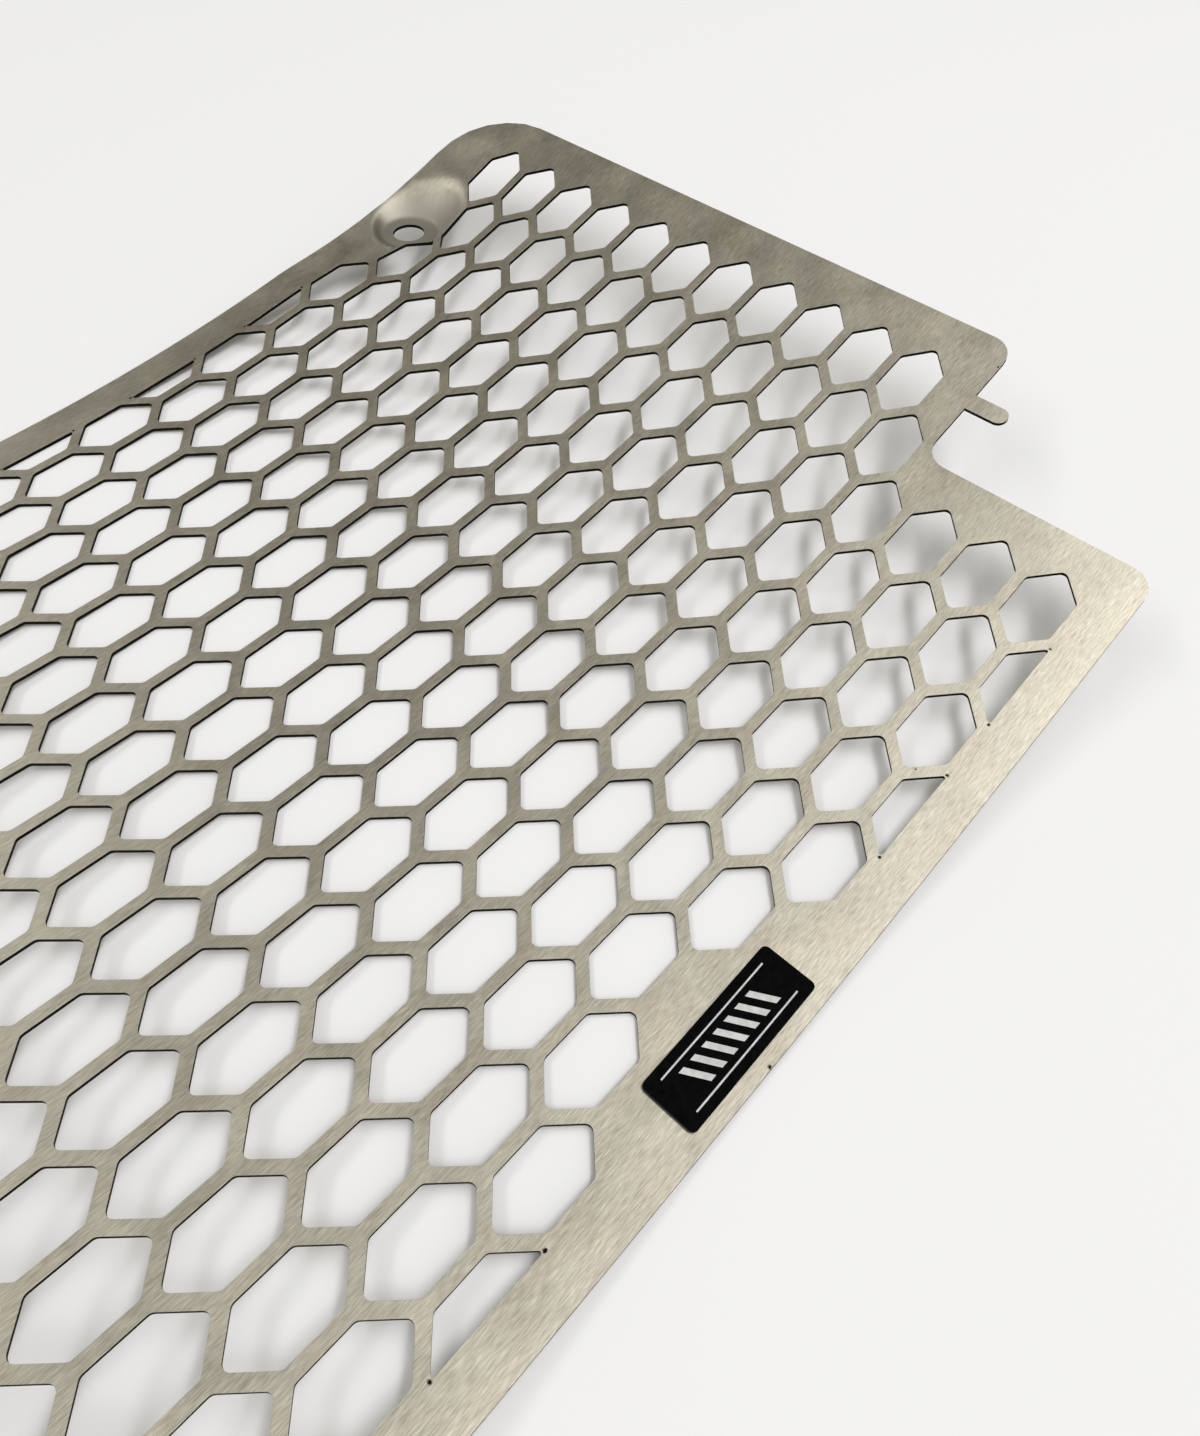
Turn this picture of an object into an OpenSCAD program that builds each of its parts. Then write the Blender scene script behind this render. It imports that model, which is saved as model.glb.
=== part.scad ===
// Radiator guard for a motorcycle: one laser-cut stainless sheet, bowed along its length, with a
// stretched honeycomb, a pressed bolt seat near each far corner and a notch at each near corner.
// It lies on its convex back. X runs along the length and Y across it, towards the bolt seats.
// The origin is on the back face, in the middle of the blank, where the bow is lowest.

/* [Sheet] */
// Length of the blank, measured along the bow
sheet_l = 300; // [280:1:340]
// Height of the blank, from near edge to far edge
sheet_w = 209; // [190:1:250]
// Thickness of the sheet
sheet_t = 0.8; // [0.5:0.1:2]
// Radius of the bow, at the hollow front face
bow_r = 515; // [400:5:2000]
// Radius of the two far corners
far_corner_r = 20; // [6:1:30]
// Radius of the small corners round the notches
corner_r = 5; // [2:0.5:8]

/* [Honeycomb] */
// Distance between neighbouring cells in a column
pitch_y = 12.5; // [10:0.1:16]
// Distance between neighbouring columns
pitch_x = 16.4; // [13:0.1:22]
// Width of the webs between cells
web_w = 2.1; // [1.2:0.1:4]
// Plain rim along the near edge
near_rim = 7.5; // [5:0.5:15]
// Plain rim along the far edge
far_rim = 8.5; // [5:0.5:15]
// Least plain rim at the two ends and round the far corners
end_rim = 8; // [5:0.5:15]
// Least height at which a cell that a rim cuts off is still made
part_cell = 3.5; // [2:0.5:6]
// Least web between a cell and a notch
notch_web = 1.8; // [1:0.1:5]

/* [Notches and tongues] */
// How far each notch reaches in from the end
notch_l = 34; // [26:1:50]
// Height of each notch, from the near edge
notch_h = 50.5; // [30:0.5:80]
// Width of the locating tongue in each notch
tongue_w = 4; // [3:0.5:8]
// How far the tongue stands out of the notch's upper edge
tongue_l = 8.5; // [5:0.5:20]
// Distance from the end of the sheet to the middle of the tongue
tongue_inset = 17; // [12:0.5:20]

/* [Bolt seats] */
// Distance between the two bolt holes
bolt_spacing = 214; // [190:1:230]
// Distance from the far edge to the bolt holes
bolt_inset = 11.5; // [9:0.5:20]
// Diameter of the bolt holes
bolt_d = 8; // [5:0.1:9]
// How far the middle of the seat is pressed below the front face
seat_drop = 4.2; // [2:0.1:6]
// Radius of the level seat round the hole
seat_r = 6.5; // [6:0.5:8]
// Slope of the pressed wall round the seat, in degrees
seat_slope = 36; // [30:1:50]
// Inside radius of the bend between seat and wall
seat_bend_r = 2.5; // [1:0.5:4]
// How far the sheet gives round each pressing
dish_drop = 1.8; // [0.5:0.1:3]
// Radius of the shallow dish that this leaves
dish_r = 200; // [150:10:300]
// Least strip between a cell and a bolt hole
bolt_web = 1.5; // [1:0.1:4]

/* [Badge] */
// Length of the badge, along X
badge_l = 29.5; // [20:0.5:36]
// Height of the badge
badge_w = 10; // [6:0.5:12]
// Thickness of the badge
badge_t = 0.5; // [0.3:0.1:1.5]
// Radius of the badge's corners
badge_corner_r = 1; // [0.5:0.5:2.5]
// Distance from the near edge to the badge
badge_inset = 2.4; // [1:0.1:6]
// Adhesive film under the badge
glue_t = 0.05; // [0.02:0.01:0.3]
// Least distance from the badge to a cell
badge_margin = 1.8; // [1:0.1:5]

/* [Hidden] */
$fn = 96;

// How far a cutter runs past what it cuts
cut = 1;
// Extra blank all round, which the outline takes off
spare = 5;
bow_c = bow_r + sheet_t;
near_y = -sheet_w / 2;
far_y = sheet_w / 2;
end_s = sheet_l / 2;

// A cell is a hexagon with 45 degree ends: a is centre to flat side, l centre to tip
cell_a = (pitch_y - web_w) / 2;
cell_l = (pitch_x + pitch_y / 2) / 2 - web_w / sqrt(2);
cell_c = cell_l - cell_a;
last_column = floor((end_s - end_rim - cell_l) / pitch_x);
last_row = ceil(far_y / pitch_y);
field_near = near_y + near_rim;
field_far = far_y - far_rim;

notch_s = end_s - notch_l;
end_x = plan_x(end_s);
sheet_top = bow_c - bow_r * cos(bow_angle(end_s));
notch_x = plan_x(notch_s);
tongue_x = plan_x(end_s - tongue_inset);
notch_y = near_y + notch_h;
badge_y = near_y + badge_inset + badge_w / 2;

bolt_x = bolt_spacing / 2;
bolt_y = far_y - bolt_inset;
bolt_s = asin(bolt_x / bow_r) * PI / 180 * bow_r;
seat_z = bow_c - sqrt(pow(bow_r, 2) - pow(bolt_x, 2)) - seat_drop;
// The pressing's cutter is wide enough to pass out through the front face all round
press_r = seat_r + 2.2 * seat_drop / tan(seat_slope) + 8;
// The pressed metal hangs less than this below the sheet
press_depth = 2 * seat_drop + 10;
// Half the angle of the dish's arc, wide enough for it to pass out through the front face
dish_span = 14;

function bow_angle(s) = s / bow_r * 180 / PI;
// Distance from the middle, in plan, of a point s along the bow
function plan_x(s) = bow_r * sin(bow_angle(s));
function clamp(v, low, high) = min(max(v, low), high);
function arc(c, r, from, to, steps) =
    [for (i = [0:steps]) let (a = from + (to - from) * i / steps) c + r * [cos(a), sin(a)]];

// Cells in odd columns stand half a pitch away from those in even columns
function cell_y(column, row) = (row + (column % 2 == 0 ? -0.25 : 0.25)) * pitch_y;
// Height of a cell that the rims leave
function height_left(y) = min(y + cell_a, field_far) - max(y - cell_a, field_near);
// Metal between a cell and a point dx and dy from its centre
function metal_to_point(dx, dy) =
    max(abs(dy) - cell_a, (abs(dx) + abs(dy) - cell_l) / sqrt(2));
// Metal between a cell and a rectangle
function metal_to_box(s, y, low, high) =
    metal_to_point(clamp(s, low.x, high.x) - s, clamp(y, low.y, high.y) - y);
// Metal between a cell and the round far corner of the sheet
function metal_to_corner(s, y) =
    let (dx = s + cell_c - (end_s - far_corner_r),
         dy = min(y + cell_a, field_far) - (far_y - far_corner_r))
    dx > 0 && dy > 0 ? far_corner_r - norm([dx, dy]) : sheet_l;
function is_cell(s, y) =
    height_left(y) > part_cell
    && metal_to_corner(s, y) > end_rim
    && metal_to_point(s - bolt_s, y - bolt_y) > bolt_d / 2 + bolt_web
    && metal_to_box(s, y, [notch_s, near_y], [end_s, notch_y]) > notch_web
    && metal_to_box(s, y, [0, near_y], [badge_l / 2, badge_y + badge_w / 2]) > badge_margin;

// Places its children at s along the bow and y across it, with Z out of the front face
module on_sheet(s, y) {
    translate([0, 0, bow_c])
        rotate([0, -bow_angle(s), 0])
            translate([0, y, -bow_r])
                children();
}

// Part of the bow between two radii, half_s to each side along it and half_w across it
module bow_ring(r_in, r_out, half_s, half_w) {
    a = bow_angle(half_s);
    translate([0, half_w, bow_c])
        rotate([90, 90 + a, 0])
            rotate_extrude(angle = 2 * a, $fn = 720)
                translate([r_in, 0])
                    square([r_out - r_in, 2 * half_w]);
}

// What stands over the two pressings, for a face that lies depth behind the front face
module over_pressings(depth) {
    bend_r = seat_bend_r + depth;
    bend_c = [seat_r, seat_z + seat_bend_r];
    wall = arc(bend_c, bend_r, -90, -90 + seat_slope, 5);
    foot = wall[len(wall) - 1];
    rim_z = foot.y + (press_r - foot.x) * tan(seat_slope);
    top_z = rim_z + press_r;
    for (side = [-1, 1])
        translate([side * bolt_x, bolt_y, 0])
            rotate_extrude()
                polygon(concat([[0, seat_z - depth]], wall,
                               [[press_r, rim_z], [press_r, top_z], [0, top_z]]));
}

// What stands over the shallow dishes round the pressings, for the same face
module over_dishes(depth) {
    bowl = arc([0, dish_r - dish_drop], dish_r + depth, -90, -90 + dish_span, 4);
    brim = bowl[len(bowl) - 1];
    for (side = [-1, 1])
        on_sheet(side * bolt_s, bolt_y)
            rotate_extrude()
                polygon(concat(bowl, [[brim.x, brim.y + dish_r], [0, brim.y + dish_r]]));
}

// Everything behind a face that lies depth behind the front face, over larger on every side
module behind(depth, over) {
    difference() {
        bow_ring(bow_r + depth, bow_r + press_depth + over, end_s + spare + over, far_y + spare + over);
        over_pressings(depth);
        over_dishes(depth);
    }
}

// The corner of an outline that a rounding of radius r takes off, for a corner at the origin
module corner_off(r) {
    difference() {
        translate([-r, -r]) square(r + 2 * cut);
        translate([-r, -r]) circle(r);
    }
}

module tongue_outline() {
    translate([-tongue_w / 2, -tongue_l + tongue_w / 2])
        square([tongue_w, tongue_l - tongue_w / 2 + cut]);
    translate([0, -tongue_l + tongue_w / 2])
        circle(tongue_w / 2);
}

// What is cut off at the right end, in plan
module end_off() {
    translate([end_x, far_y]) corner_off(far_corner_r);
    translate([end_x, notch_y]) mirror([0, 1]) corner_off(corner_r);
    translate([notch_x, near_y]) mirror([0, 1]) corner_off(corner_r);
    difference() {
        translate([notch_x, near_y - cut]) square([end_x - notch_x + cut, notch_h + cut]);
        translate([notch_x, notch_y]) mirror([1, 0]) corner_off(corner_r);
        translate([tongue_x, notch_y]) tongue_outline();
    }
}

// The sheet's outline in plan
module sheet_outline() {
    difference() {
        square([2 * end_x, sheet_w], center = true);
        for (side = [0, 1])
            mirror([side, 0]) end_off();
    }
}

module cell_outline() {
    polygon([[cell_l, 0], [cell_c, cell_a], [-cell_c, cell_a],
             [-cell_l, 0], [-cell_c, -cell_a], [cell_c, -cell_a]]);
}

// A cell less what the near and far rims cover
module cell_in_field(y) {
    if (y - cell_a < field_near || y + cell_a > field_far)
        intersection() {
            cell_outline();
            translate([-pitch_x, field_near - y])
                square([2 * pitch_x, field_far - field_near]);
        }
    else
        cell_outline();
}

module cells() {
    for (column = [-last_column:last_column], row = [-last_row:last_row]) {
        s = column * pitch_x;
        y = cell_y(column, row);
        if (is_cell(abs(s), y))
            on_sheet(s, y)
                translate([0, 0, -press_depth])
                    linear_extrude(press_depth + cut)
                        cell_in_field(y);
    }
}

module guard_sheet() color("silver") {
    difference() {
        intersection() {
            behind(0, 0);
            translate([0, 0, -press_depth])
                linear_extrude(press_depth + sheet_top + cut)
                    sheet_outline();
        }
        behind(sheet_t, cut);
        for (side = [-1, 1])
            translate([side * bolt_x, bolt_y, 0])
                cylinder(d = bolt_d, h = 4 * press_depth, center = true);
        cells();
    }
}

module badge() color("black") {
    intersection() {
        bow_ring(bow_r - glue_t - badge_t, bow_r - glue_t, badge_l, far_y);
        translate([0, badge_y, -cut])
            linear_extrude(bow_r / 10)
                difference() {
                    square([badge_l, badge_w], center = true);
                    for (x = [0, 1], y = [0, 1])
                        mirror([x, 0]) mirror([0, y])
                            translate([badge_l / 2, badge_w / 2]) corner_off(badge_corner_r);
                }
    }
}

guard_sheet();
badge();
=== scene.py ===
"""The looks of the radiator guard: a brushed stainless sheet with laser-cut cells, and a gloss badge."""
import math

import bpy
import numpy as np
from mathutils import Matrix, Vector, geometry


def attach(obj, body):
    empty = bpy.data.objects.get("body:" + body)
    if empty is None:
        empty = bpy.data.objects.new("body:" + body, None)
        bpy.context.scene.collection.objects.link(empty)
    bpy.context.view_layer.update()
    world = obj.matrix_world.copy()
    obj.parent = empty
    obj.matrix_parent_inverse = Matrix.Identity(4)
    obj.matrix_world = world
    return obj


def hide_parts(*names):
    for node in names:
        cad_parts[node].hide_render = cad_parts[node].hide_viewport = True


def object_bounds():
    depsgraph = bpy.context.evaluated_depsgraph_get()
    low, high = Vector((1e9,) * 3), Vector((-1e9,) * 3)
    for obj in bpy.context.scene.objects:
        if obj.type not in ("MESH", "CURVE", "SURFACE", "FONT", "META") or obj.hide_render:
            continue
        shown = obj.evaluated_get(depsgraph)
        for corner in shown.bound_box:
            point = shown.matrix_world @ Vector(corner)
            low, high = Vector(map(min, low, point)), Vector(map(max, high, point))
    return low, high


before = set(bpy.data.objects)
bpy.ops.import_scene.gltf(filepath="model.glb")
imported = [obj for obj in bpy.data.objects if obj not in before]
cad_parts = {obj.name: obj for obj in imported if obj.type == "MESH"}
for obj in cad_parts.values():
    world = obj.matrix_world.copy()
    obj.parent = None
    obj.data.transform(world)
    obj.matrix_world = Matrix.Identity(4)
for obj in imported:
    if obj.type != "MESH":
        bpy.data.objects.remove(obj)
cad_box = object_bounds()

# The lengths below are in mm unless they say otherwise, and the scene is in metres
MM = 0.001

# The sheet, as the part's source has it: s runs along the bow from its middle, y across it
SHEET_L = 300.0
SHEET_W = 209.0
SHEET_T = 0.8
BOW_R = 515.0
FAR_CORNER_R = 20.0
CORNER_R = 5.0
BOW_C = BOW_R + SHEET_T
END_S = SHEET_L / 2
NEAR_Y = -SHEET_W / 2
FAR_Y = SHEET_W / 2

# The honeycomb
PITCH_Y = 12.5
PITCH_X = 16.4
STAGGER = 0.25
WEB_W = 2.1
NEAR_RIM = 7.5
FAR_RIM = 8.5
END_RIM = 8.0
PART_CELL = 3.5
NOTCH_WEB = 1.8
CELL_A = (PITCH_Y - WEB_W) / 2
CELL_L = (PITCH_X + PITCH_Y / 2) / 2 - WEB_W / math.sqrt(2)
CELL_C = CELL_L - CELL_A
FIELD_NEAR = NEAR_Y + NEAR_RIM
FIELD_FAR = FAR_Y - FAR_RIM
# Rounding of a cell's corners, and of the acute corners of a cell that a rim cuts off
CELL_R = 1.2
ACUTE_R = 0.35
# A corner is acute where the cosine between its edges is over this
ACUTE_COS = 0.3
# An edge of a cell that is shorter than this is left out
SHORTEST = 0.6

# The notches and tongues
NOTCH_L = 34.0
NOTCH_H = 50.5
TONGUE_W = 4.0
TONGUE_L = 8.5
TONGUE_INSET = 17.0
# What is left between the two roundings of a tongue's tip
TIP_FLAT = 0.002
NOTCH_S = END_S - NOTCH_L
NOTCH_Y = NEAR_Y + NOTCH_H

# The bolt seats
BOLT_X = 107.0
BOLT_Y = FAR_Y - 11.5
BOLT_R = 4.0
BOLT_WEB = 1.5
SEAT_DROP = 4.2
SEAT_R = 6.5
SEAT_SLOPE = math.radians(36)
SEAT_BEND_R = 2.5
SEAT_ANGLE = math.asin(BOLT_X / BOW_R)
BOLT_S = BOW_R * SEAT_ANGLE
SEAT_Z = BOW_C - math.sqrt(BOW_R ** 2 - BOLT_X ** 2) - SEAT_DROP
# The sheet gives a little round each pressing
DISH_DROP = 1.8
DISH_R = 200.0
DISH_REACH = 36.0
CREASE = 0.9
# Round each bolt the pressing roughens the metal and darkens its colour with painted shade, out to this
# radius and fading over the next length
PRESSED_R = 8.0
PRESSED_FADE = 9.0
# Reach of the scorch at an acute corner, and other dark specks along the cuts: s, y and reach
BURN_R = 0.6
SPECKS = ((0.3, NEAR_Y + 0.3, 0.7), (56.8, -92.3, 0.45), (143.5, NOTCH_Y + 0.2, 0.5))

# The fine chamfer along each cut
CHAMFER = 0.03
# How finely outlines are cut up: the step round a corner, along the blank's edges and along a cell's,
# the turn under which a corner counts as straight, and the points round a bolt hole
ARC_STEP = math.radians(16)
EDGE_STEP = 4.0
CELL_STEP = 20.0
STRAIGHT = 1e-6
BOLT_STEPS = 48
# The even grid of points between the cuts
GRID_STEP = 5.0
GRID_INSET = 2.0
# Rings of points round a bolt, and how many points a ring has
SEAT_RINGS = (5.0, 5.8, 6.5, 7.0, 7.5, 8.0, 8.8, 9.6, 10.4, 11.2, 12, 13, 14.5, 16.5, 19, 22, 26, 30, 35, 40)
RING_STEP = 1.4
RING_LEAST = 30
RING_MOST = 56
# Rings round a speck: share of its reach, and number of points
SPECK_RINGS = ((0.5, 8), (1.0, 12))
# How near to a cut each kind of point may lie, and how far from one its distance is still measured
GRID_MARGIN = 1.3
SEAT_MARGIN = 0.45
SPECK_RING_MARGIN = 0.15
SPECK_MARGIN = 0.1
LOOK_R = 25.0
# Points closer than this are one point
WELD = 1e-5
# Half the distance over which a slope of the front face is taken, and rounds until its drop settles
PROBE = 0.05
DROP_ROUNDS = 8
# The sheet's material slots
METAL = 0
CUT = 1
# The sheet's map, which has s and y in units of this length
MAP_NAME = "sheet"
MAP_UNIT = 100.0

# The ground steel: noise over the map, in waves for each unit
FINE_WAVES = (48.0, 520.0, 1.0)
BROAD_WAVES = (22.0, 190.0, 1.0)
CLOUD_WAVES = (8.0, 12.0, 1.0)
TINT_WAVES = (10.0, 13.0, 4.0)
FINE_SHARE = 0.7
# Its colour over the streaks, and two faint patterns of patches that multiply it
STEEL = ((0.34, (0.352, 0.330, 0.264)), (0.50, (0.472, 0.444, 0.368)), (0.66, (0.597, 0.568, 0.485)))
HAZE = ((0.36, (0.955, 0.95, 0.945)), (0.5, (1.0, 1.0, 1.0)), (0.66, (1.07, 1.065, 1.05)))
TINT = ((0.36, (0.985, 0.995, 0.975)), (0.5, (1.0, 1.0, 1.0)), (0.64, (1.018, 0.994, 0.975)))
# Painted shade: the darker colour of the pressings, which dims their lit slopes
DIMPLE_SHADE = (0.34, 0.32, 0.27)
SCORCHED = (0.012, 0.009, 0.007)
SCORCH_LEVEL = 0.8
SCORCH_SHARPNESS = 3.0
# Its roughness, and what the streaks, patches and pressings add to it
STEEL_ROUGH = 0.28
STREAK_ROUGH = 0.14
CLOUD_ROUGH = 0.16
PRESSED_ROUGH = 0.12
ANISOTROPY = 0.7
# The streaks run along the map's u, and a highlight spreads across them
ANISOTROPY_TURN = 0.25
# Depth of the streaks in metres
STREAK_DEPTH = 0.000012

# The laser-cut edge: waves for each metre, and depth in metres
CUT_WAVES = (2500.0, 2500.0, 400.0)
# Near black: the oxide's own dark, deepened with painted shade of the unlit walls
CUT_COLORS = ((0.3, (0.0015, 0.0013, 0.001)), (0.7, (0.010, 0.008, 0.006)))
CUT_ROUGH = 0.5
CUT_GRAIN_ROUGH = 0.2
CUT_SPECULAR = 0.05
CUT_DEPTH = 0.00002

# The badge
BADGE_L = 29.5
BADGE_W = 10.0
BADGE_INSET = 2.4
BADGE_MARGIN = 1.8
BADGE_Y = NEAR_Y + BADGE_INSET + BADGE_W / 2
BADGE_EDGE = 0.12
BADGE_EDGE_STEPS = 3
BADGE_EDGE_ANGLE = math.radians(40)
# Its print: slanted bars in a row along the middle, and a fine line above and below them
BAR_PITCH = 2.6
BAR_SHARE = 0.45
BAR_COUNT = 7
BAR_H = 4.2
BAR_SLANT = 0.55
LINE_OFF = 3.3
LINE_W = 0.28
LINE_L = 24.0
# Its skin: waves for each metre, and depth in metres
PRINT_WAVES = (900.0, 900.0, 900.0)
BLACK = ((0.3, (0.001, 0.001, 0.0012)), (0.7, (0.003, 0.003, 0.0033)))
SILVER = ((0.3, (0.52, 0.52, 0.51)), (0.7, (0.66, 0.66, 0.65)))
PRINT_ROUGH = 0.16
PRINT_GRAIN_ROUGH = 0.05
PRINT_SPECULAR = 0.04
PRINT_DEPTH = 0.00001

# The floor, in metres
FLOOR_HALF = 6.0
FLOOR_COLOR = (0.862, 0.866, 0.868)
FLOOR_ROUGH = 0.9

# The two long lamps: their direction in plan, then height and size in metres
STRIP_ALONG = math.radians(30)
STRIP_HEIGHT = 1.3
STRIP_SIZE = (1.9, 0.2)
STRIP_COLOR = (0.995, 0.985, 1.0)
# Name, distance to the side as a share of the height, and power in watts
STRIPS = (("strip_near", 0.47, 10.5), ("strip_far", -0.8, 6.0))

# The sky's colours from its dark side to its bright one, which is overhead and beyond the near edge
SKY_LEAN = (0.0, -0.6, 0.8)
SKY = (
    (0.0, (0.12, 0.114, 0.083)),
    (0.1, (0.138, 0.130, 0.095)),
    (0.62, (0.45, 0.438, 0.405)),
    (1.0, (1.0, 1.0, 0.995)),
)
# A pale wall low round the floor: the sine of its elevation where it ends and where it is full
WALL_TOP = 0.36
WALL_FULL = 0.14
WALL_COLOR = (0.68, 0.68, 0.67)

# The camera: its place, two of its directions, its lens in mm and the nearest thing that it shows in metres
CAMERA_PLACE = (-53.31, -118.08, 154.14)
CAMERA_RIGHT = (0.67309, -0.73953, 0.00717)
CAMERA_FORWARD = (0.43888, 0.39161, -0.80872)
CAMERA_LENS = 26.42
CAMERA_NEAREST = 0.005


def rotated(v, a):
    """A flat vector turned anticlockwise by an angle."""
    return np.array([v[0] * math.cos(a) - v[1] * math.sin(a), v[0] * math.sin(a) + v[1] * math.cos(a)])


def loop_from_corners(corners, step=EDGE_STEP):
    """A closed outline of points from corners (s, y, rounding), its straight runs cut up by step."""
    points = []
    for i, (s, y, r) in enumerate(corners):
        here = np.array([s, y])
        before = np.array(corners[i - 1][:2]) - here
        after = np.array(corners[(i + 1) % len(corners)][:2]) - here
        before /= np.linalg.norm(before)
        after /= np.linalg.norm(after)
        turn = math.pi - math.acos(np.clip(before @ after, -1, 1))
        if r == 0 or turn < STRAIGHT:
            points.append(here)
            continue
        reach = r * math.tan(turn / 2)
        middle = here + (before + after) / np.linalg.norm(before + after) * r / math.cos(turn / 2)
        start = here + before * reach - middle
        side = np.sign(before[0] * after[1] - before[1] * after[0])
        steps = max(2, math.ceil(turn / ARC_STEP))
        points += [middle + rotated(start, -side * turn * k / steps) for k in range(steps + 1)]
    out = []
    for i, p in enumerate(points):
        q = points[(i + 1) % len(points)]
        pieces = max(1, math.ceil(np.linalg.norm(q - p) / step))
        out += [p + (q - p) * k / pieces for k in range(pieces)]
    return np.array(out)


def cell_centres():
    """Centres of the cells, by the same rules as in the part's source."""
    last_column = math.floor((END_S - END_RIM - CELL_L) / PITCH_X)
    last_row = math.ceil(FAR_Y / PITCH_Y)
    found = []
    for column in range(-last_column, last_column + 1):
        for row in range(-last_row, last_row + 1):
            y = (row + (-STAGGER if column % 2 == 0 else STAGGER)) * PITCH_Y
            if is_cell(abs(column * PITCH_X), y):
                found.append((column * PITCH_X, y))
    return found


def metal_to_point(ds, dy):
    """How far a point that lies (ds, dy) from a cell's centre is outside the cell."""
    return max(abs(dy) - CELL_A, (abs(ds) + abs(dy) - CELL_L) / math.sqrt(2))


def metal_to_box(s, y, low, high):
    """How far the point of a box that lies nearest to a cell's centre is outside the cell."""
    return metal_to_point(min(max(s, low[0]), high[0]) - s, min(max(y, low[1]), high[1]) - y)


def is_cell(s, y):
    """Whether a cell with its centre at (s, y), on the right half, leaves enough metal round it."""
    height = min(y + CELL_A, FIELD_FAR) - max(y - CELL_A, FIELD_NEAR)
    corner = (s + CELL_C - END_S + FAR_CORNER_R, min(y + CELL_A, FIELD_FAR) - FAR_Y + FAR_CORNER_R)
    in_corner = corner[0] > 0 and corner[1] > 0 and FAR_CORNER_R - math.hypot(*corner) <= END_RIM
    return (
        height > PART_CELL
        and not in_corner
        and metal_to_point(s - BOLT_S, y - BOLT_Y) > BOLT_R + BOLT_WEB
        and metal_to_box(s, y, (NOTCH_S, NEAR_Y), (END_S, NOTCH_Y)) > NOTCH_WEB
        and metal_to_box(s, y, (0, NEAR_Y), (BADGE_L / 2, BADGE_Y + BADGE_W / 2)) > BADGE_MARGIN
    )


def cell_loop(s, y):
    """A cell's rounded outline, anticlockwise, and its acute corners where a rim cuts it off."""
    upper = [(CELL_L, 0), (CELL_C, CELL_A), (-CELL_C, CELL_A)]
    lower = [(-a, -b) for a, b in upper]
    corners = [(s + a, y + b, CELL_R) for a, b in upper + lower]
    for limit, sign in ((FIELD_NEAR, 1), (FIELD_FAR, -1)):
        corners = without_stubs(clipped(corners, limit, sign))
    acute = []
    for i, (a, b, _) in enumerate(corners):
        before, after = corners[i - 1], corners[(i + 1) % len(corners)]
        u = np.array([before[0] - a, before[1] - b])
        v = np.array([after[0] - a, after[1] - b])
        if u @ v > ACUTE_COS * np.linalg.norm(u) * np.linalg.norm(v):
            corners[i] = (a, b, ACUTE_R)
            acute.append((a, b))
    return loop_from_corners(corners, CELL_STEP), acute


def clipped(corners, limit, sign):
    """The corners that are left above a limit in y (sign 1) or below it (sign -1)."""
    out = []
    for i, p in enumerate(corners):
        q = corners[(i + 1) % len(corners)]
        p_in = (p[1] - limit) * sign > 0
        q_in = (q[1] - limit) * sign > 0
        if p_in:
            out.append(p)
        if p_in != q_in:
            t = (limit - p[1]) / (q[1] - p[1])
            out.append((p[0] + (q[0] - p[0]) * t, limit, CELL_R))
    return out


def without_stubs(corners):
    """The corners with each edge that is too short to round taken out, its two neighbours carried on."""
    out = list(corners)
    for i in range(len(out) - 1, -1, -1):
        a, b, c, d = (np.array(out[(i + k) % len(out)][:2]) for k in (-1, 0, 1, 2))
        if np.linalg.norm(c - b) < SHORTEST:
            along = b - a
            back = c - d
            t = ((d - a)[0] * back[1] - (d - a)[1] * back[0]) / (along[0] * back[1] - along[1] * back[0])
            meet = a + along * t
            out[i] = (meet[0], meet[1], CELL_R)
            out.pop((i + 1) % len(out))
    return out


def outline_loop():
    """The blank's outline, anticlockwise."""
    tongue_s = END_S - TONGUE_INSET
    half_w = TONGUE_W / 2
    tip_y = NOTCH_Y - TONGUE_L
    tip_r = half_w - TIP_FLAT / 2
    right = [
        (NOTCH_S, NEAR_Y, CORNER_R),
        (NOTCH_S, NOTCH_Y, CORNER_R),
        (tongue_s - half_w, NOTCH_Y, 0),
        (tongue_s - half_w, tip_y, tip_r),
        (tongue_s + half_w, tip_y, tip_r),
        (tongue_s + half_w, NOTCH_Y, 0),
        (END_S, NOTCH_Y, CORNER_R),
        (END_S, FAR_Y, FAR_CORNER_R),
    ]
    left = [(-s, y, r) for s, y, r in reversed(right)]
    return loop_from_corners(right + left)


def press_z(r):
    """Height of the pressing's upper face at a distance r from the bolt's axis, in plan."""
    bend = np.clip((r - SEAT_R) / SEAT_BEND_R, 0, math.sin(SEAT_SLOPE))
    on_bend = SEAT_Z + SEAT_BEND_R * (1 - np.sqrt(1 - bend ** 2))
    past = np.maximum(r - SEAT_R - SEAT_BEND_R * math.sin(SEAT_SLOPE), 0)
    return on_bend + past * math.tan(SEAT_SLOPE)


def soft_max(a, b, width):
    """The larger of a and b, rounded off where they differ by less than width."""
    mix = np.clip(0.5 + 0.5 * (a - b) / width, 0, 1)
    return b + (a - b) * mix + width * mix * (1 - mix) / 2


def dish_drop(a, y):
    """How far the shallow dish round a pressing lies below the plain bow, negative outside it."""
    centre = BOW_R - DISH_R + DISH_DROP
    across = centre * np.sin(np.abs(a) - SEAT_ANGLE)
    inner = DISH_R ** 2 - (y - BOLT_Y) ** 2 - across ** 2
    return np.sqrt(np.maximum(inner, 0)) + centre * np.cos(np.abs(a) - SEAT_ANGLE) - BOW_R


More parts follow.
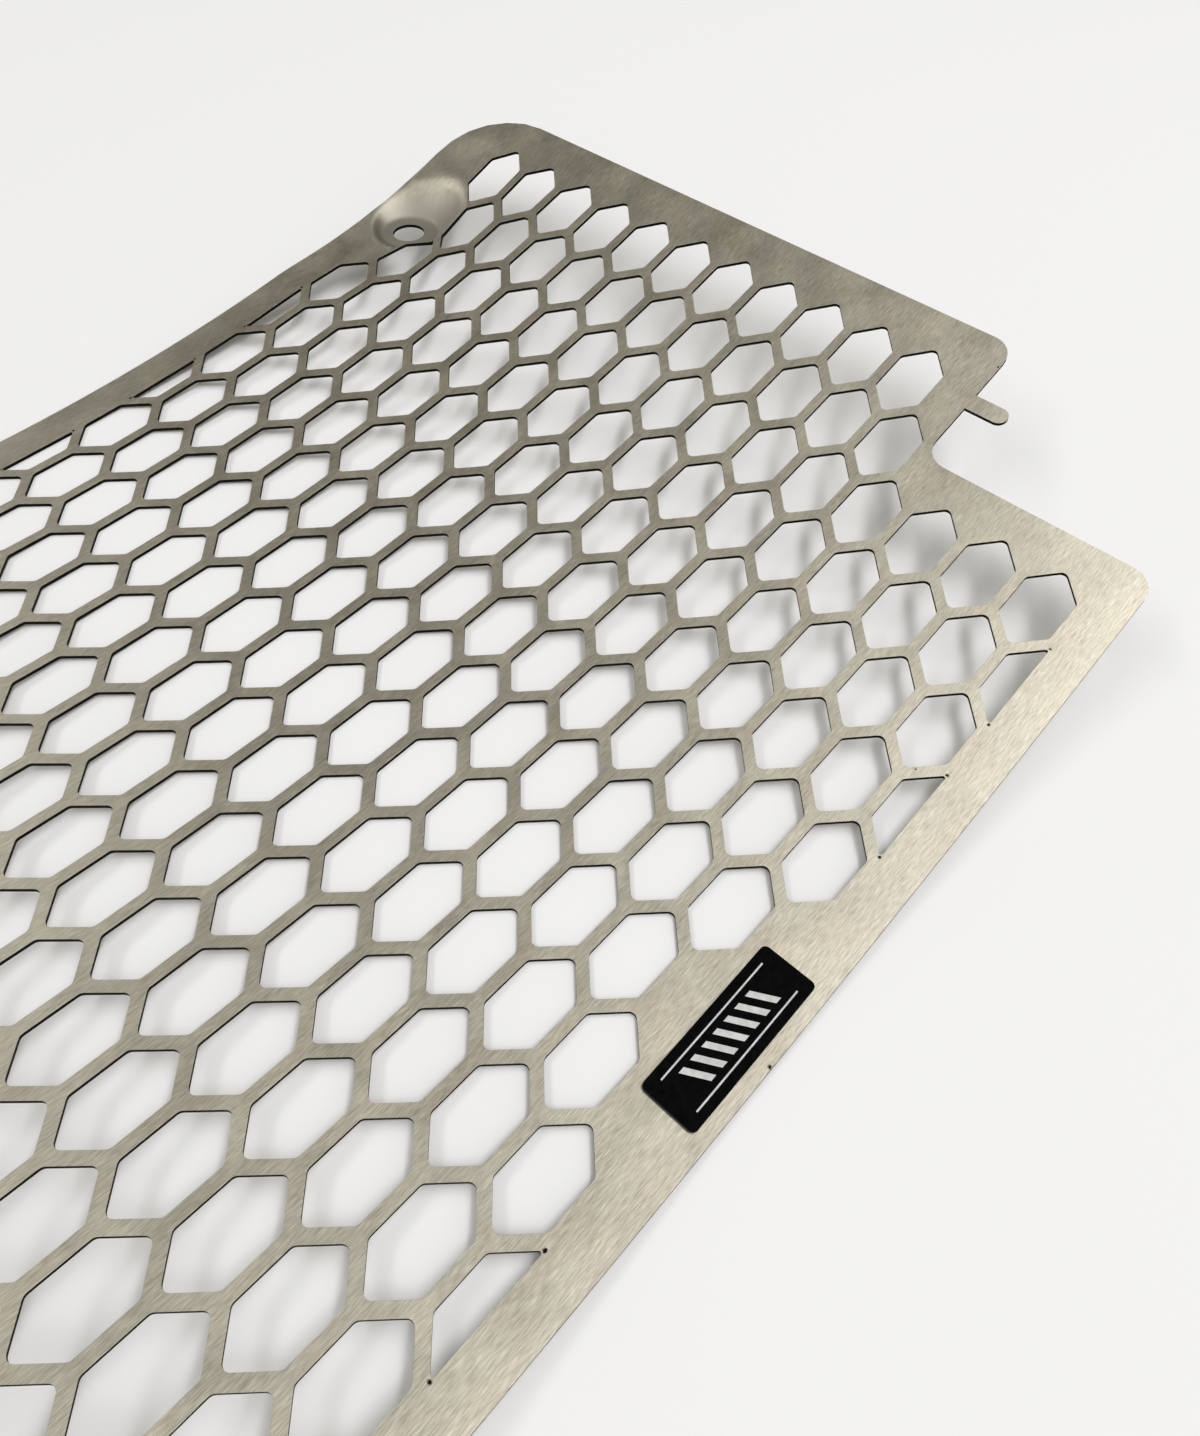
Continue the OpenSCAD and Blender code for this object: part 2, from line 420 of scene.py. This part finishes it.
def drop_at(s, y):
    """How far the front face lies below the plain bow, along the bow's radius."""
    a = s / BOW_R
    dish = soft_max(dish_drop(a, y), 0, CREASE / 2)
    drop = np.zeros_like(a)
    for _ in range(DROP_ROUNDS):
        x = (BOW_R + drop) * np.sin(a)
        r = np.hypot(np.abs(x) - BOLT_X, y - BOLT_Y)
        pressed = (BOW_C - press_z(r)) / np.cos(a) - BOW_R
        drop = soft_max(pressed, dish, CREASE)
    return drop


def front_face(sy):
    """Points of the front face in mm for an array of (s, y)."""
    s, y = sy[:, 0], sy[:, 1]
    radius = BOW_R + drop_at(s, y)
    a = s / BOW_R
    return np.stack([radius * np.sin(a), y, BOW_C - radius * np.cos(a)], 1)


def unit(vectors):
    """Each vector of an array at length one."""
    return vectors / np.linalg.norm(vectors, axis=1)[:, None]


def front_frame(sy):
    """Point, normal and the two tangents of the front face at each (s, y)."""
    along_s = unit(front_face(sy + [PROBE, 0]) - front_face(sy - [PROBE, 0]))
    along_y = unit(front_face(sy + [0, PROBE]) - front_face(sy - [0, PROBE]))
    return front_face(sy), unit(np.cross(along_s, along_y)), along_s, along_y


def ring(x, y, r, steps, shift=0.0):
    """Points on a circle, anticlockwise, the first turned by a share of a step."""
    turns = [2 * math.pi * (k + shift) / steps for k in range(steps)]
    return [(x + r * math.cos(t), y + r * math.sin(t)) for t in turns]


def bolt_loop(side):
    """The outline of a bolt hole, which is round in plan, anticlockwise in sheet coordinates."""
    x, y = np.array(ring(side * BOLT_X, BOLT_Y, BOLT_R, BOLT_STEPS)).T
    return np.stack([BOW_R * np.arctan(x / (BOW_C - SEAT_Z)), y], 1)


def seat_rings(side):
    """Points on rings round a bolt seat, close together where the pressing bends."""
    out = []
    for i, r in enumerate(SEAT_RINGS):
        steps = int(min(RING_MOST, max(RING_LEAST, 2 * math.pi * r / RING_STEP)))
        for x, y in ring(side * BOLT_X, BOLT_Y, r, steps, shift=i % 2 / 2):
            z = min(press_z(r), BOW_C - math.sqrt(BOW_R ** 2 - x * x))
            out.append((BOW_R * math.atan(x / (BOW_C - z)), y))
    return out


def outward(loop):
    """For a closed anticlockwise loop, the unit vector pointing out of it at each point."""
    back = unit(loop - np.roll(loop, 1, axis=0))
    ahead = unit(np.roll(loop, -1, axis=0) - loop)
    both = back + ahead
    return unit(np.stack([both[:, 1], -both[:, 0]], 1))


def far_from(points, loops, margins):
    """Which points lie at least margins from every edge of the loops."""
    a = np.concatenate(loops)
    b = np.concatenate([np.roll(loop, -1, axis=0) for loop in loops])
    keep = np.ones(len(points), bool)
    ab = b - a
    ab2 = (ab ** 2).sum(1)
    for i, p in enumerate(points):
        near = np.abs(a - p).max(1) < LOOK_R
        t = np.clip(((p - a[near]) * ab[near]).sum(1) / ab2[near], 0, 1)
        d = np.linalg.norm(a[near] + ab[near] * t[:, None] - p, axis=1)
        keep[i] = len(d) == 0 or d.min() > margins[i]
    return keep


def inside(points, loop):
    """Which points lie inside a closed loop."""
    crosses = np.zeros(len(points), int)
    for (ax, ay), (bx, by) in zip(loop, np.roll(loop, -1, axis=0)):
        if ay == by:
            continue
        hit = (points[:, 1] >= min(ay, by)) & (points[:, 1] < max(ay, by))
        at = ax + (points[:, 1] - ay) * (bx - ax) / (by - ay)
        crosses += hit & (at > points[:, 0])
    return crosses % 2 == 1


def inner_points(outer, holes, specks):
    """Points of the metal between the cuts: an even grid, and rings round the bolt seats and the specks."""
    made = [(s, y, GRID_MARGIN) for s in np.arange(-END_S + GRID_INSET, END_S, GRID_STEP)
            for y in np.arange(NEAR_Y + GRID_INSET, FAR_Y, GRID_STEP)
            if math.hypot(abs(s) - BOLT_X, y - BOLT_Y) > DISH_REACH]
    made += [(s, y, SEAT_MARGIN) for side in (-1, 1) for s, y in seat_rings(side)]
    for s, y, reach in specks:
        made.append((s, y, SPECK_MARGIN))
        for share, steps in SPECK_RINGS:
            made += [(*p, SPECK_RING_MARGIN) for p in ring(s, y, reach * share, steps)]
    made = np.array(made)
    points, margins = made[:, :2], made[:, 2]
    keep = inside(points, outer)
    for hole in holes:
        in_box = (points > hole.min(0)).all(1) & (points < hole.max(0)).all(1)
        at = np.flatnonzero(keep & in_box)
        keep[at[inside(points[at], hole)]] = False
    points, margins = points[keep], margins[keep]
    return points[far_from(points, [outer] + holes, margins)]


def flat_mesh(rims, inner):
    """Points and triangles of the flat metal between the rims, and each rim as indices of its points."""
    starts = np.cumsum([0] + [len(rim) for rim in rims])
    edges = [list(range(a, b)) for a, b in zip(starts[:-1], starts[1:])]
    flat = [Vector(p) for p in np.concatenate(rims + [inner])]
    points, _, triangles, came_from, _, within = geometry.delaunay_2d_cdt(flat, [], edges, 1, WELD)
    new_index = {old: new for new, olds in enumerate(came_from) for old in olds}
    return (
        np.array([tuple(p) for p in points]),
        # The first rim is the outline, and what lies within a second one is a hole
        [tuple(f) for f, loops in zip(triangles, within) if list(loops) == [0]],
        [[new_index[old] for old in edge] for edge in edges],
    )


def metal_marks(places, specks):
    """How burnt and how pressed the metal is at each place on the sheet, from 0 to 1."""
    burnt = np.zeros(len(places))
    for s, y, reach in specks:
        burnt = np.maximum(burnt, 1 - np.hypot(places[:, 0] - s, places[:, 1] - y) / reach)
    to_bolt = np.hypot(np.abs(places[:, 0]) - BOLT_S, places[:, 1] - BOLT_Y)
    pressed = 1 - (to_bolt - PRESSED_R) / PRESSED_FADE
    return {"burnt": np.clip(burnt, 0, 1), "pressed": np.clip(pressed, 0, 1)}


def sheet_mesh():
    """The guard's sheet: front, back, cut walls and the fine chamfer along each cut."""
    outer = outline_loop()
    cells = [cell_loop(s, y) for s, y in cell_centres()]
    holes = [loop for loop, _ in cells] + [bolt_loop(side) for side in (-1, 1)]
    specks = [(*p, BURN_R) for _, acute in cells for p in acute] + list(SPECKS)
    loops = [outer] + holes
    # Each cut's direction away from the metal
    away = [outward(outer)] + [-outward(hole) for hole in holes]
    shrunk = [loop - n * CHAMFER for loop, n in zip(loops, away)]
    points, triangles, rims = flat_mesh(shrunk, inner_points(outer, holes, specks))

    count = len(points)
    p, normal, _, _ = front_frame(points)
    verts = [p, p - normal * SHEET_T]
    normals = [normal, -normal]
    places = [points, points]
    faces = triangles + [tuple(v + count for v in reversed(f)) for f in triangles]
    kinds = [METAL] * len(faces)
    base = 2 * count
    for index, (loop, n, rim) in enumerate(zip(loops, away, rims)):
        p, normal, along_s, along_y = front_frame(loop)
        wall = unit(along_s * n[:, :1] + along_y * n[:, 1:])
        verts += [p - normal * CHAMFER, p - normal * (SHEET_T - CHAMFER)]
        normals += [wall, wall]
        places += [loop, loop]
        size = len(loop)
        for k in range(size):
            j = (k + 1) % size
            top = (rim[k], rim[j])
            upper = (base + k, base + j)
            lower = (base + size + k, base + size + j)
            bottom = (rim[k] + count, rim[j] + count)
            for kind, (a, b) in ((METAL, (top, upper)), (CUT, (upper, lower)), (METAL, (lower, bottom))):
                face = (a[0], b[0], b[1], a[1])
                faces.append(face if index == 0 else face[::-1])
                kinds.append(kind)
        base += 2 * size
    places = np.concatenate(places)
    marks = metal_marks(places, specks)
    return np.concatenate(verts) * MM, faces, kinds, np.concatenate(normals), places, marks


def new_object(name, data):
    """An object in the scene."""
    thing = bpy.data.objects.new(name, data)
    bpy.context.scene.collection.objects.link(thing)
    return thing


def turn_to(thing, x_axis, y_axis, z_axis):
    """Turns an object until its own axes lie along these."""
    thing.rotation_mode = "QUATERNION"
    thing.rotation_quaternion = Matrix((x_axis, y_axis, z_axis)).transposed().to_quaternion()


def mesh_object(name, verts, faces, kinds, normals, places, marks, materials):
    """A smooth mesh with these normals, the sheet's map, and an attribute for each mark."""
    mesh = bpy.data.meshes.new(name)
    mesh.from_pydata(verts.tolist(), [], faces)
    for material in materials:
        mesh.materials.append(material)
    mesh.polygons.foreach_set("material_index", kinds)
    mesh.polygons.foreach_set("use_smooth", [True] * len(faces))
    layer = mesh.uv_layers.new(name=MAP_NAME)
    corner = np.zeros(len(mesh.loops), int)
    mesh.loops.foreach_get("vertex_index", corner)
    layer.data.foreach_set("uv", (places[corner] / MAP_UNIT).astype(np.float32).ravel())
    for mark, values in marks.items():
        attribute = mesh.attributes.new(mark, "FLOAT", "POINT")
        attribute.data.foreach_set("value", values.astype(np.float32))
    mesh.normals_split_custom_set_from_vertices(normals.tolist())
    mesh.update()
    return new_object(name, mesh)


class Nodes:
    """A node tree, with short calls to add and join nodes."""

    def __init__(self, tree):
        self.tree = tree

    def add(self, kind, **values):
        node = self.tree.nodes.new(kind)
        for key, value in values.items():
            setattr(node, key, value)
        return node

    def join(self, a, b):
        self.tree.links.new(a, b)

    def math(self, operation, a, b=0.0, clamp=False):
        node = self.add("ShaderNodeMath", operation=operation, use_clamp=clamp)
        for socket, value in zip(node.inputs, (a, b)):
            if isinstance(value, (int, float)):
                socket.default_value = value
            else:
                self.join(value, socket)
        return node.outputs[0]

    def below(self, value, limit):
        """One where a value's size is under a limit, and otherwise zero."""
        return self.math("LESS_THAN", self.math("ABSOLUTE", value), limit)

    def varied(self, base, value, reach):
        """A base plus a share of a value."""
        return self.math("ADD", self.math("MULTIPLY", value, reach), base)

    def noise(self, vector, waves, detail=2.0, roughness=0.5):
        """Noise over a vector, with so many waves along each axis."""
        mapping = self.add("ShaderNodeMapping")
        mapping.inputs["Scale"].default_value = waves
        self.join(vector, mapping.inputs["Vector"])
        node = self.add("ShaderNodeTexNoise")
        node.inputs["Scale"].default_value = 1.0
        node.inputs["Detail"].default_value = detail
        node.inputs["Roughness"].default_value = roughness
        self.join(mapping.outputs["Vector"], node.inputs["Vector"])
        return node.outputs["Fac"]

    def ramp(self, value, stops):
        """Colours over a value, from stops of a position and a colour."""
        node = self.add("ShaderNodeValToRGB")
        elements = node.color_ramp.elements
        for element, (position, color) in zip(elements, (stops[0], stops[-1])):
            element.position = position
            element.color = (*color, 1)
        for position, color in stops[1:-1]:
            elements.new(position).color = (*color, 1)
        self.join(value, node.inputs["Fac"])
        return node.outputs["Color"]

    def mix(self, factor, a, b, blend="MIX"):
        """Two colours mixed, where a factor or a colour may be a value or a socket."""
        node = self.add("ShaderNodeMix", data_type="RGBA", blend_type=blend)
        # Of this node's sockets, these are the factor and the two that take colours
        for socket, value in ((node.inputs[0], factor), (node.inputs[6], a), (node.inputs[7], b)):
            if isinstance(value, (int, float)):
                socket.default_value = value
            elif isinstance(value, tuple):
                socket.default_value = (*value, 1)
            else:
                self.join(value, socket)
        return node.outputs[2]

    def bump(self, height, depth):
        node = self.add("ShaderNodeBump")
        node.inputs["Distance"].default_value = depth
        self.join(height, node.inputs["Height"])
        return node.outputs["Normal"]


def new_material(name):
    """A material, its nodes and its shader."""
    material = bpy.data.materials.new(name)
    material.use_nodes = True
    return material, Nodes(material.node_tree), material.node_tree.nodes["Principled BSDF"]


def brushed_steel():
    """Stainless sheet ground along its length: short streaks, faint patches, scorched acute corners."""
    material, n, shader = new_material("brushed_steel")
    uv = n.add("ShaderNodeUVMap", uv_map=MAP_NAME).outputs["UV"]
    fine = n.noise(uv, FINE_WAVES, detail=2.0, roughness=0.6)
    broad = n.noise(uv, BROAD_WAVES, detail=3.0, roughness=0.6)
    cloud = n.noise(uv, CLOUD_WAVES, detail=3.0)
    tint = n.noise(uv, TINT_WAVES, detail=2.0)
    streak = n.math("ADD", n.math("MULTIPLY", fine, FINE_SHARE), n.math("MULTIPLY", broad, 1 - FINE_SHARE))
    pressed = n.add("ShaderNodeAttribute", attribute_name="pressed").outputs["Fac"]
    burnt = n.add("ShaderNodeAttribute", attribute_name="burnt").outputs["Fac"]

    color = n.mix(1.0, n.ramp(streak, STEEL), n.ramp(cloud, HAZE), blend="MULTIPLY")
    color = n.mix(1.0, color, n.ramp(tint, TINT), blend="MULTIPLY")
    # Painted shade darkens the colour in the pressings round the bolts
    color = n.mix(pressed, color, DIMPLE_SHADE)
    uneven = n.math("ADD", burnt, n.math("SUBTRACT", broad, SCORCH_LEVEL))
    color = n.mix(n.math("MULTIPLY", uneven, SCORCH_SHARPNESS, clamp=True), color, SCORCHED)
    n.join(color, shader.inputs["Base Color"])
    shader.inputs["Metallic"].default_value = 1.0

    patches = n.math("MULTIPLY", n.math("SUBTRACT", cloud, 0.5), CLOUD_ROUGH)
    rough = n.math("ADD", n.math("MULTIPLY", streak, STREAK_ROUGH), patches)
    rough = n.math("ADD", rough, n.math("MULTIPLY", pressed, PRESSED_ROUGH))
    n.join(n.math("ADD", rough, STEEL_ROUGH), shader.inputs["Roughness"])
    shader.inputs["Anisotropic"].default_value = ANISOTROPY
    shader.inputs["Anisotropic Rotation"].default_value = ANISOTROPY_TURN
    tangent = n.add("ShaderNodeTangent", direction_type="UV_MAP", uv_map=MAP_NAME)
    n.join(tangent.outputs["Tangent"], shader.inputs["Tangent"])
    n.join(n.bump(streak, STREAK_DEPTH), shader.inputs["Normal"])
    return material


def cut_wall():
    """The laser-cut edge: dark oxide painted near black, partly as the shade of the unlit walls, with fine
    upright drag lines.
    """
    material, n, shader = new_material("laser_cut_edge")
    grain = n.noise(n.add("ShaderNodeTexCoord").outputs["Object"], CUT_WAVES)
    n.join(n.ramp(grain, CUT_COLORS), shader.inputs["Base Color"])
    shader.inputs["Specular IOR Level"].default_value = CUT_SPECULAR
    n.join(n.varied(CUT_ROUGH, grain, CUT_GRAIN_ROUGH), shader.inputs["Roughness"])
    n.join(n.bump(grain, CUT_DEPTH), shader.inputs["Normal"])
    return material


def sheet():
    """The dressed sheet, which stands for the CAD one."""
    piece = mesh_object("guard_sheet_dressed", *sheet_mesh(), [brushed_steel(), cut_wall()])
    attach(piece, "root")
    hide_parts("guard_sheet")


def badge_skin():
    """Gloss black print with a plain silver pattern: slanted bars between two fine lines."""
    material, n, shader = new_material("badge_black")
    coordinates = n.add("ShaderNodeTexCoord").outputs["Object"]
    place = n.add("ShaderNodeSeparateXYZ")
    n.join(coordinates, place.inputs["Vector"])
    along = place.outputs["X"]
    across = n.math("SUBTRACT", place.outputs["Y"], BADGE_Y * MM)
    slanted = n.math("ADD", along, n.math("MULTIPLY", across, BAR_SLANT))
    phase = n.math("FRACT", n.math("ADD", n.math("DIVIDE", slanted, BAR_PITCH * MM), 0.5))
    bars = n.below(n.math("SUBTRACT", phase, 0.5), BAR_SHARE / 2)
    bars = n.math("MULTIPLY", bars, n.below(across, BAR_H / 2 * MM))
    bars = n.math("MULTIPLY", bars, n.below(slanted, BAR_PITCH * BAR_COUNT / 2 * MM))
    from_line = n.math("SUBTRACT", n.math("ABSOLUTE", across), LINE_OFF * MM)
    lines = n.math("MULTIPLY", n.below(from_line, LINE_W / 2 * MM), n.below(along, LINE_L / 2 * MM))
    printed = n.math("MAXIMUM", bars, lines)
    grain = n.noise(coordinates, PRINT_WAVES)
    n.join(n.mix(printed, n.ramp(grain, BLACK), n.ramp(grain, SILVER)), shader.inputs["Base Color"])
    n.join(n.varied(PRINT_ROUGH, grain, PRINT_GRAIN_ROUGH), shader.inputs["Roughness"])
    shader.inputs["Specular IOR Level"].default_value = PRINT_SPECULAR
    n.join(n.bump(grain, PRINT_DEPTH), shader.inputs["Normal"])
    return material


def badge():
    """The badge keeps its CAD body, with softened edges and its own skin."""
    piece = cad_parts["badge"]
    piece.data.materials.clear()
    piece.data.materials.append(badge_skin())
    bevel = piece.modifiers.new("softened", "BEVEL")
    bevel.width = BADGE_EDGE * MM
    bevel.segments = BADGE_EDGE_STEPS
    bevel.limit_method = "ANGLE"
    bevel.angle_limit = BADGE_EDGE_ANGLE
    bevel.harden_normals = True


def floor():
    """A plain pale floor under the guard's lowest line."""
    material, _, shader = new_material("pale_floor")
    shader.inputs["Base Color"].default_value = (*FLOOR_COLOR, 1)
    shader.inputs["Roughness"].default_value = FLOOR_ROUGH
    shader.inputs["Specular IOR Level"].default_value = 0.0
    z = cad_box[0].z
    corners = [(x * FLOOR_HALF, y * FLOOR_HALF, z) for x, y in ((-1, -1), (1, -1), (1, 1), (-1, 1))]
    mesh = bpy.data.meshes.new("floor")
    mesh.from_pydata(corners, [], [(0, 1, 2, 3)])
    mesh.materials.append(material)
    new_object("floor", mesh)


def strip_light(name, across, power):
    """A long soft lamp that looks at the guard from STRIP_HEIGHT, off to one side by across times that."""
    lamp = bpy.data.lights.new(name, "AREA")
    lamp.shape = "RECTANGLE"
    lamp.size, lamp.size_y = STRIP_SIZE
    lamp.energy = power
    lamp.color = STRIP_COLOR
    light = new_object(name, lamp)
    along = Vector((math.cos(STRIP_ALONG), math.sin(STRIP_ALONG), 0))
    side = Vector((along.y, -along.x, 0))
    light.location = (side * across + Vector((0, 0, 1))) * STRIP_HEIGHT
    back = light.location.normalized()
    x_axis = (along - back * along.dot(back)).normalized()
    turn_to(light, x_axis, back.cross(x_axis), back)


def sky():
    """A plain sky that is brightest on one side, with a pale wall low round the floor."""
    world = bpy.data.worlds.new("studio")
    bpy.context.scene.world = world
    world.use_nodes = True
    n = Nodes(world.node_tree)
    direction = n.add("ShaderNodeTexCoord").outputs["Generated"]
    lean = n.add("ShaderNodeVectorMath", operation="DOT_PRODUCT")
    lean.inputs[1].default_value = SKY_LEAN
    n.join(direction, lean.inputs[0])
    height = n.add("ShaderNodeSeparateXYZ")
    n.join(direction, height.inputs["Vector"])
    low = n.add("ShaderNodeMapRange", interpolation_type="SMOOTHSTEP")
    low.inputs["From Min"].default_value = WALL_TOP
    low.inputs["From Max"].default_value = WALL_FULL
    n.join(height.outputs["Z"], low.inputs["Value"])
    color = n.mix(low.outputs["Result"], n.ramp(lean.outputs["Value"], SKY), WALL_COLOR)
    n.join(color, world.node_tree.nodes["Background"].inputs["Color"])


def camera():
    """The photograph's viewpoint: looking down along the guard from beyond its near edge."""
    forward = Vector(CAMERA_FORWARD).normalized()
    right = Vector(CAMERA_RIGHT)
    right = (right - forward * right.dot(forward)).normalized()
    lens = bpy.data.cameras.new("camera")
    lens.lens = CAMERA_LENS
    lens.clip_start = CAMERA_NEAREST
    view = new_object("camera", lens)
    view.location = Vector(CAMERA_PLACE) * MM
    turn_to(view, right, right.cross(forward), -forward)
    bpy.context.scene.camera = view


camera()
sheet()
badge()
floor()
for name, across, power in STRIPS:
    strip_light(name, across, power)
sky()
bpy.context.scene.view_settings.view_transform = "Standard"

bpy.context.view_layer.update()
